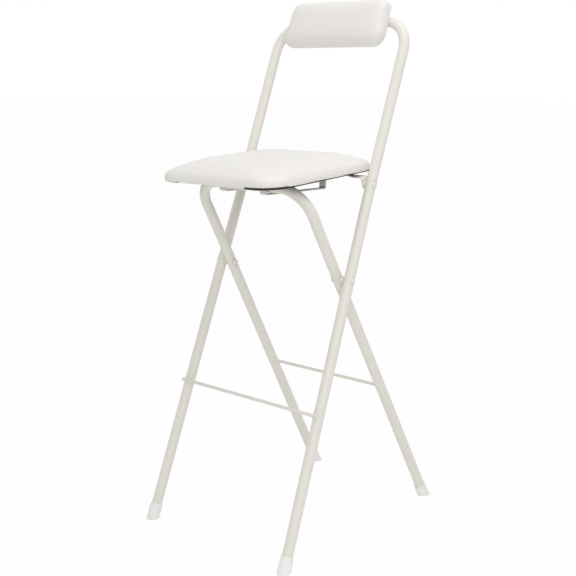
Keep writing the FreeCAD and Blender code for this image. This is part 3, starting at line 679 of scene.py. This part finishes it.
def seat_cushion_piece(finish, padding):
    """Seat pad: foam under vinyl pulled round the plywood, the black panel let in under it."""
    rows = smooth_rows(SEAT_CROWN, 3)
    rings = [full_corner(seat_ring(height * MM, inset * MM, padding.side_bow)) for height, inset in rows]
    close_crown(rings, steps=6, rise=0.6 * MM)
    vinyl = leathercloth("seat_leathercloth", finish.vinyl, finish.grain)
    piece = padded_form("seat_cover", rings, vinyl, padding, held_below=2 * MM, pressure=4.0)
    for side, start, end, depth in SEAT_CREASES:
        ends = [Vector((side * x, y, z)) * MM for x, y, z in (start, end)]
        press_crease(piece, *ends, width=2.6 * MM, depth=depth * MM)
    # Hollows: for the panel, its lip and its two front corners, from under the seat, and for the board above
    gap = CLEARANCE
    under = -6 * MM
    far = 2 * SEAT_HALF_FRONT
    rear = SEAT_DEPTH - PANEL_SHORT + gap
    corner = SEAT_CORNERS[0] + gap
    inner = SEAT_HALF_FRONT - PANEL_CORNER - gap
    panel = seat_ring(0, PANEL_INSET - gap)
    edge = seat_ring(0, PANEL_LIP_INSET - gap)
    hollows = (
        (clipped(panel, (-far, PANEL_SHORT - gap), (far, rear)), under, PANEL_T),
        (clipped(edge, (-far, corner - 2 * gap), (far, rear)), under, PANEL_LIP_T),
        (clipped(edge, (inner, 0), (far, corner)), under, PANEL_T),
        (clipped(edge, (-far, 0), (-inner, corner)), under, PANEL_T),
        (seat_ring(0, BOARD_INSET - gap), PANEL_T - gap, PANEL_T + BOARD_T),
    )
    cuts = [slab(outline, low, high + gap) for outline, low, high in hollows]
    carve(piece, [under_hem(12 * MM)] + cuts)
    piece.data.transform(seat_axes())
    shade(piece)
    return piece


def backrest_cushion_piece(finish, padding):
    """Backrest pad: foam under vinyl pulled round its board, with a crease along the foot of its face."""
    rings = [pad_ring(height * MM, inset * MM) for height, inset in smooth_rows(PAD_CROWN, 3)]
    close_crown(rings, steps=4, rise=0.3 * MM)
    vinyl = leathercloth("backrest_leathercloth", finish.vinyl, finish.grain)
    held = PAD_BASE + 3 * MM
    piece = padded_form("backrest_cover", rings, vinyl, padding, held_below=held, pressure=2.0)
    start, end, depth = PAD_CREASE
    ends = [Vector((x * MM, PAD_LOW_RUN + y * MM, PAD_BASE + z * MM)) for x, y, z in (start, end)]
    press_crease(piece, *ends, width=2.4 * MM, depth=depth * MM)
    # Cut flat at the back, with a hollow for the board
    behind = slab(pad_ring(0, -20 * MM), PAD_BASE - 12 * MM, PAD_BASE)
    outline = pad_ring(0, PAD_BOARD_INSET - CLEARANCE)
    board = slab(outline, PAD_BASE - MM, PAD_BASE + PAD_BOARD_T + CLEARANCE)
    carve(piece, [behind, board])
    return hang(piece)


def hang(piece):
    """Sets a piece of the backrest in place, with the pad's slight roll on its bar."""
    middle = Matrix.Translation((0, PAD_LOW_RUN + PAD_HEIGHT / 2, 0))
    piece.data.transform(pad_axes() @ middle @ Matrix.Rotation(PAD_ROLL, 4, "Z") @ middle.inverted())
    shade(piece)
    return piece


def backrest_back_pieces(vinyl, ply):
    """Plywood board of the backrest and the vinyl sheet that closes its back."""
    board = slab(pad_ring(0, PAD_BOARD_INSET), PAD_BASE, PAD_BASE + PAD_BOARD_T)
    sheet = slab(pad_ring(0, PAD_COVER_INSET), PAD_BASE - PAD_COVER_T, PAD_BASE)
    made = (
        ("backrest_ply", "backrest_board", board, ply),
        ("backrest_back_vinyl", "backrest_back_cover", sheet, vinyl),
    )
    for name, node, form, material in made:
        piece = hang(new_piece(name, *form, material))
        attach(piece, "front")
        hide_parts(node)


# Screws and welds

def threaded_ring(radius, core, height, pitch, count=16):
    """Ring round Z whose radius follows a thread of that pitch, down to the core's share of the radius."""
    points = []
    for k in range(count):
        phase = (height / pitch - k / count) % 1.0
        reach = radius * (core + (1 - core) * (1 - abs(2 * phase - 1)))
        angle = 2 * math.pi * k / count
        points.append(Vector((reach * math.cos(angle), reach * math.sin(angle), height)))
    return points


def screw_form(size, length, material):
    """Pan-head screw along Z with a cross recess in its head and a rolled thread."""
    shank, head, tall, pitch = size
    # Profile of the head, as shares of its radius and height
    profile = ((0.5, -1.0), (0.78, -0.93), (0.94, -0.7), (1.0, -0.4), (1.0, -0.05), (0.97, 0.0))
    rings = [threaded_ring(head * r, 1.0, tall * z, pitch) for r, z in profile]
    # The thread ends in a cone, 1.6 radii long and nearly sharp
    tip = length - 1.6 * shank
    steps = max(2, int(tip / pitch * 4))
    rings += [threaded_ring(shank, THREAD_CORE, tip * k / steps, pitch) for k in range(steps + 1)]
    rings.append(threaded_ring(shank * 0.12, 1.0, length, pitch))
    piece = new_piece("screw", *skin_rings(rings), material)
    # The recess is two crossed slots, half lengths as shares of the head's radius
    slots = [box_ring(head * a, head * b) for a, b in ((0.56, 0.13), (0.13, 0.56))]
    carve(piece, [slab(outline, -1.2 * tall, -0.45 * tall) for outline in slots])
    return piece


def loose_parts(node):
    """Point lists of the separate solids in a CAD node."""
    form = bmesh.new()
    form.from_mesh(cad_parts[node].data)
    bmesh.ops.remove_doubles(form, verts=form.verts, dist=0.001 * MM)
    found = set()
    parts = []
    for first in form.verts:
        if first in found:
            continue
        found.add(first)
        part = [first]
        # The part grows while it is walked, until no neighbour is new
        for vertex in part:
            near = [edge.other_vert(vertex) for edge in vertex.link_edges]
            fresh = [other for other in near if other not in found]
            found.update(fresh)
            part += fresh
        parts.append([vertex.co.copy() for vertex in part])
    form.free()
    return parts


def screw_set(node, size, axes, material, body):
    """Screws in place of a CAD node's plain ones, each along Z of the axes and turned on from the last."""
    form = bmesh.new()
    back = axes.inverted()
    for number, part in enumerate(loose_parts(node)):
        local = [back @ p for p in part]
        low, high = [Vector([pick(p[i] for p in local) for i in range(3)]) for pick in (min, max)]
        middle = (low + high) / 2
        screw = screw_form(size, high.z - low.z - size[2], material)
        turned = Matrix.Rotation(SCREW_TURN * number, 4, "Z")
        screw.data.transform(axes @ Matrix.Translation((middle.x, middle.y, low.z + size[2])) @ turned)
        form.from_mesh(screw.data)
        bpy.data.objects.remove(screw)
    piece = new_piece(node + "_threaded", [], [], material)
    form.to_mesh(piece.data)
    form.free()
    shade(piece)
    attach(piece, body)
    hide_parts(node)


def weld_bead(name, spots, radius, material, body):
    """Bead of weld laid drop by drop along the spots, painted over."""
    form = bmesh.new()
    for spot in spots:
        bmesh.ops.create_icosphere(form, subdivisions=2, radius=radius, matrix=Matrix.Translation(spot))
    piece = new_piece(name, [], [], material)
    form.to_mesh(piece.data)
    form.free()
    even = piece.modifiers.new("even", "REMESH")
    even.mode = "VOXEL"
    even.voxel_size = radius / 4
    apply_modifiers(piece)
    relax(piece, 2, 0.4)
    shade(piece)
    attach(piece, body)


def half_at(leg, height):
    """Half width between the legs of a frame at a height."""
    floor, knee, knee_height = leg
    return floor + (knee - floor) * height / knee_height


def axis_of(node):
    """Middle of a straight rod along X, from its box."""
    low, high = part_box(node)
    return (Vector(low) + Vector(high)) / 2


def footrest_weld_spots(rod, side, turn):
    """Drops above or below the footrest rod, side by side across the front of one leg."""
    ahead = Vector((0, -math.cos(FRONT_LEAN), math.sin(FRONT_LEAN)))
    up = Vector((0, math.sin(FRONT_LEAN), math.cos(FRONT_LEAN)))
    spots = []
    for k in range(-3, 4):
        aside = WELD_DROP * k
        sunk = TUBE_R - math.sqrt(TUBE_R ** 2 - aside ** 2)
        spot = Vector((side * half_at(FRONT_LEG, rod.z) + aside, rod.y, rod.z))
        spots.append(spot - ahead * (WELD_BEHIND + sunk) + up * turn * WELD_OFF)
    return spots


def stretcher_weld_spots(bar, side):
    """Drops in a ring round the stretcher, where it enters one tube."""
    spots = []
    for k in range(WELD_RING_DROPS):
        angle = 2 * math.pi * k / WELD_RING_DROPS
        across, along = WELD_RING * math.cos(angle), WELD_RING * math.sin(angle)
        x = half_at(REAR_LEG, bar.z) - math.sqrt(TUBE_R ** 2 - across ** 2)
        spots.append(Vector((side * x, bar.y + across, bar.z + along)))
    return spots


def frame_welds(material):
    """Beads above and below the footrest rod on each leg, and round both ends of the stretcher."""
    rod = axis_of("footrest_rod")
    bar = axis_of("rear_stretcher")
    for side, word in ((1, "left"), (-1, "right")):
        for turn, place in ((1, "upper"), (-1, "lower")):
            spots = footrest_weld_spots(rod, side, turn)
            weld_bead(f"footrest_weld_{place}_{word}", spots, WELD_DROP, material, "front")
        weld_bead(f"stretcher_weld_{word}", stretcher_weld_spots(bar, side), WELD_DROP, material, "rear")


# Steps that make the stool

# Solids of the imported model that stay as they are, by the finish that each gets; the rear frame has its own
CAD_FINISH = {
    "paint": ("front_frame", "footrest_rod", "rear_stretcher", "pivot_rivets", "hinge_rivets"),
    "sheet": ("hinge_bracket", "slide_strap_left", "slide_strap_right"),
    "caps": ("front_foot_caps", "rear_foot_caps"),
    "nylon": ("pivot_spacers", "pivot_washers", "hinge_washers"),
    "zinc": ("bracket_packers", "backrest_tee_nuts"),
    "hardboard": ("seat_base_panel",),
    "plywood": ("seat_board",),
}


def dress(nodes, material):
    """Gives CAD nodes their finish."""
    for name in nodes:
        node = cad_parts[name]
        node.data.materials.clear()
        node.data.materials.append(material)


class BARSTOOL_OT_frame(bpy.types.Operator):
    """Finish the tubes, rods, sheet parts, boards and small hardware"""

    bl_idname = "bar_stool.frame"
    bl_label = "Frame and hardware"

    def execute(self, context):
        finish = context.scene.bar_stool_finish
        paint = powder_coat("powder_coat_tubes", finish.paint)
        zinc = zinc_plate()
        dress(CAD_FINISH["paint"], paint)
        dress(("rear_frame",), powder_coat("powder_coat_rubbed", finish.paint, rubbed=True))
        dress(CAD_FINISH["sheet"], powder_coat("powder_coat_sheet", finish.paint, edge=0.4 * MM))
        dress(CAD_FINISH["caps"], milky_polyethylene(finish.caps))
        dress(CAD_FINISH["nylon"], moulded_nylon())
        dress(CAD_FINISH["zinc"], zinc)
        dress(CAD_FINISH["hardboard"], black_hardboard())
        ply = plywood()
        dress(CAD_FINISH["plywood"], ply)
        backrest_back_pieces(leathercloth("back_leathercloth", finish.vinyl, finish.grain), ply)
        frame_welds(paint)
        screw_set("bracket_screws", WOOD_SCREW, seat_axes(), zinc, "seat")
        screw_set("strap_screws", WOOD_SCREW, seat_axes(), zinc, "seat")
        screw_set("panel_screws", PANEL_SCREW, seat_axes(), zinc, "seat")
        screw_set("backrest_screws", BACK_SCREW, pad_axes(), zinc, "front")
        return {"FINISHED"}


class BARSTOOL_OT_seat(bpy.types.Operator):
    """Make the padded seat"""

    bl_idname = "bar_stool.seat"
    bl_label = "Seat cushion"

    def execute(self, context):
        piece = seat_cushion_piece(context.scene.bar_stool_finish, context.scene.bar_stool_padding)
        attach(piece, "seat")
        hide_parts("seat_cushion")
        return {"FINISHED"}


class BARSTOOL_OT_backrest(bpy.types.Operator):
    """Make the padded backrest"""

    bl_idname = "bar_stool.backrest"
    bl_label = "Backrest cushion"

    def execute(self, context):
        piece = backrest_cushion_piece(context.scene.bar_stool_finish, context.scene.bar_stool_padding)
        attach(piece, "front")
        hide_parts("backrest_cushion")
        return {"FINISHED"}


# Studio

# Camera of the photograph: place, direction it looks along, lens and framing
CAMERA_AT = Vector((1.2927, -1.4391, 0.8194))
CAMERA_AZIMUTH = math.radians(41.88)
CAMERA_DOWN = math.radians(9.1)
CAMERA_ROLL = math.radians(0.2)
CAMERA_LENS = 65.08
CAMERA_SHIFT = (-0.0189, -0.0659)

# Soft boxes: place, what each looks at, width in metres and power in watts
KEY_LIGHT = ((0.5, -0.1, 2.6), (0, 0, 0.6), 1.6, 15.5)
FRONT_FILL = ((1.9, -1.9, 1.2), (0, 0, 0.5), 1.4, 11.5)
# Strength of the even light from all round on the object
WORLD_FILL = 0.6
# Floor: half its width, how far it lies under the soles, and the share of plain white in what is seen of it
FLOOR_HALF = 40.0
FLOOR_DROP = 0.1 * MM
FLOOR_WHITE = 0.965
WHITE = (1.0, 1.0, 1.0, 1.0)


def place_camera():
    """Camera where the photograph was taken."""
    data = bpy.data.cameras.new("camera")
    data.lens = CAMERA_LENS
    data.sensor_width = 36.0
    data.shift_x, data.shift_y = CAMERA_SHIFT
    camera = bpy.data.objects.new("camera", data)
    turn = Matrix.Rotation(CAMERA_AZIMUTH, 4, "Z") @ Matrix.Rotation(math.pi / 2 - CAMERA_DOWN, 4, "X")
    camera.matrix_world = Matrix.Translation(CAMERA_AT) @ turn @ Matrix.Rotation(CAMERA_ROLL, 4, "Z")
    bpy.context.scene.collection.objects.link(camera)
    bpy.context.scene.camera = camera


def seen_directly(tree):
    """One for camera, glossy and transmission rays, which see the white background."""
    rays = add_node(tree, "ShaderNodeLightPath")
    shine = add_node(tree, "ShaderNodeMath", {
        0: rays.outputs["Is Glossy Ray"], 1: rays.outputs["Is Transmission Ray"]}, operation="MAXIMUM")
    seen = add_node(tree, "ShaderNodeMath", {
        0: rays.outputs["Is Camera Ray"], 1: shine.outputs[0]}, operation="MAXIMUM")
    return seen.outputs[0]


def set_world():
    """Dim even fill for the object, plain white for whatever looks at the background."""
    world = bpy.data.worlds.new("studio")
    bpy.context.scene.world = world
    world.use_nodes = True
    tree = world.node_tree
    sky = tree.nodes["Background"]
    level = add_node(tree, "ShaderNodeMapRange", {0: seen_directly(tree), 3: WORLD_FILL, 4: 1.0})
    sky.inputs["Color"].default_value = WHITE
    tree.links.new(level.outputs[0], sky.inputs["Strength"])


def studio_floor():
    """Matt white paper floor that stays white in view but keeps the stool's shadow."""
    material, tree, body, where = start_material("white_paper_floor", {"Roughness": 0.9})
    tone = mottle(tree, where, 300 * MM, opaque("#F4F4F4"), opaque("#FAFAFA"))
    tree.links.new(tone, body.inputs["Base Color"])
    glow = add_node(tree, "ShaderNodeEmission", {"Color": WHITE, "Strength": 1.0})
    share = add_node(tree, "ShaderNodeMath", {0: seen_directly(tree), 1: FLOOR_WHITE}, operation="MULTIPLY")
    blend = add_node(tree, "ShaderNodeMixShader", {
        0: share.outputs[0], 1: body.outputs[0], 2: glow.outputs[0]})
    # Seen from below, the paper is clear so that the underside of the stool shows
    clear = add_node(tree, "ShaderNodeBsdfTransparent", {"Color": WHITE})
    under = add_node(tree, "ShaderNodeNewGeometry").outputs["Backfacing"]
    paper = add_node(tree, "ShaderNodeMixShader", {0: under, 1: blend.outputs[0], 2: clear.outputs[0]})
    tree.links.new(paper.outputs[0], tree.nodes["Material Output"].inputs["Surface"])
    corners = [p - Vector((0, 0, FLOOR_DROP)) for p in box_ring(FLOOR_HALF, FLOOR_HALF)]
    floor = new_piece("floor", corners, [(0, 1, 2, 3)], material)


def soft_box(name, place, aim, size, power):
    """Square area light that looks at a point."""
    data = bpy.data.lights.new(name, "AREA")
    data.shape = "SQUARE"
    data.size = size
    data.energy = power
    lamp = bpy.data.objects.new(name, data)
    lamp.location = place
    lamp.rotation_euler = (Vector(aim) - Vector(place)).to_track_quat("-Z", "Y").to_euler()
    bpy.context.scene.collection.objects.link(lamp)


class BARSTOOL_OT_studio(bpy.types.Operator):
    """Set up the floor, the lights and the camera"""

    bl_idname = "bar_stool.studio"
    bl_label = "Studio"

    def execute(self, context):
        context.scene.view_settings.view_transform = "Standard"
        place_camera()
        set_world()
        studio_floor()
        soft_box("key", *KEY_LIGHT)
        soft_box("front_fill", *FRONT_FILL)
        return {"FINISHED"}


class BARSTOOL_PT_sidebar(bpy.types.Panel):
    """Colours, sizes and steps of the bar stool"""

    bl_idname = "BARSTOOL_PT_sidebar"
    bl_label = "Bar stool"
    bl_space_type = "VIEW_3D"
    bl_region_type = "UI"
    bl_category = "Bar stool"

    def draw(self, context):
        for group in (context.scene.bar_stool_finish, context.scene.bar_stool_padding):
            for name in group.__annotations__:
                self.layout.prop(group, name)
        for operator in OPERATORS:
            self.layout.operator(operator.bl_idname)


GROUPS = (StoolFinish, StoolPadding)
OPERATORS = (BARSTOOL_OT_frame, BARSTOOL_OT_seat, BARSTOOL_OT_backrest, BARSTOOL_OT_studio)


def register():
    for item in GROUPS + OPERATORS + (BARSTOOL_PT_sidebar,):
        bpy.utils.register_class(item)
    bpy.types.Scene.bar_stool_finish = bpy.props.PointerProperty(type=StoolFinish)
    bpy.types.Scene.bar_stool_padding = bpy.props.PointerProperty(type=StoolPadding)


def unregister():
    del bpy.types.Scene.bar_stool_padding
    del bpy.types.Scene.bar_stool_finish
    for item in (BARSTOOL_PT_sidebar,) + OPERATORS[::-1] + GROUPS[::-1]:
        bpy.utils.unregister_class(item)


def main():
    """Makes the stool and its studio."""
    register()
    bpy.ops.bar_stool.studio()
    bpy.ops.bar_stool.frame()
    bpy.ops.bar_stool.seat()
    bpy.ops.bar_stool.backrest()


if __name__ == "__main__":
    main()
